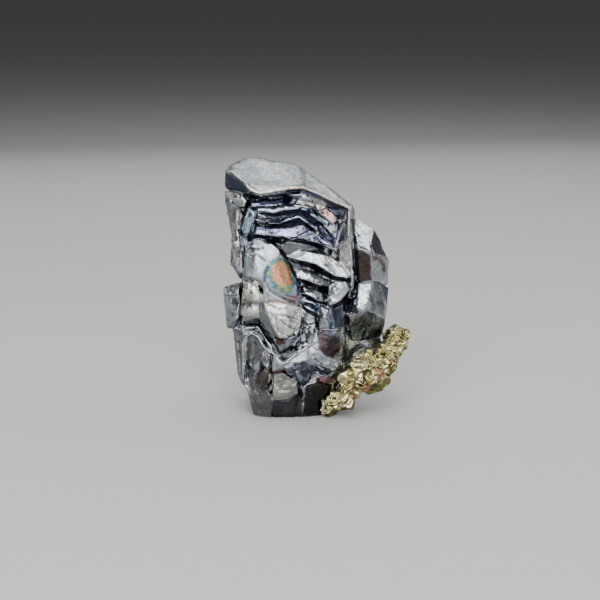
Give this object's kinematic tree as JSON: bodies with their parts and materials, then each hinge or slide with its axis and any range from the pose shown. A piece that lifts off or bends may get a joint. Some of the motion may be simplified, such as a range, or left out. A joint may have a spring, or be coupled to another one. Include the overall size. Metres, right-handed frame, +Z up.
{
  "type": "galena crystal",
  "caption": "Skeletal galena crystal with a hollow ribbed front, a blocky crystal grown on its side and a bar of chalcopyrite, resting on a small flat spot.",
  "frame": {"origin": "on the flat spot that the crystal rests on, under its upright axis", "axes": "+Z up, along the crystal's height; -Y towards the hollow ribbed front; +X towards the bar of chalcopyrite"},
  "size_m": [0.0212, 0.0128, 0.029],
  "materials": {
    "galena": "lead-grey metallic lustre, satin, with blue, orange and teal tarnish in places",
    "chalcopyrite": "brassy gold metallic lustre with coppery spots"
  },
  "bodies": {
    "root": {"galena": "galena", "chalcopyrite": "chalcopyrite"}
  },
  "joints": []
}
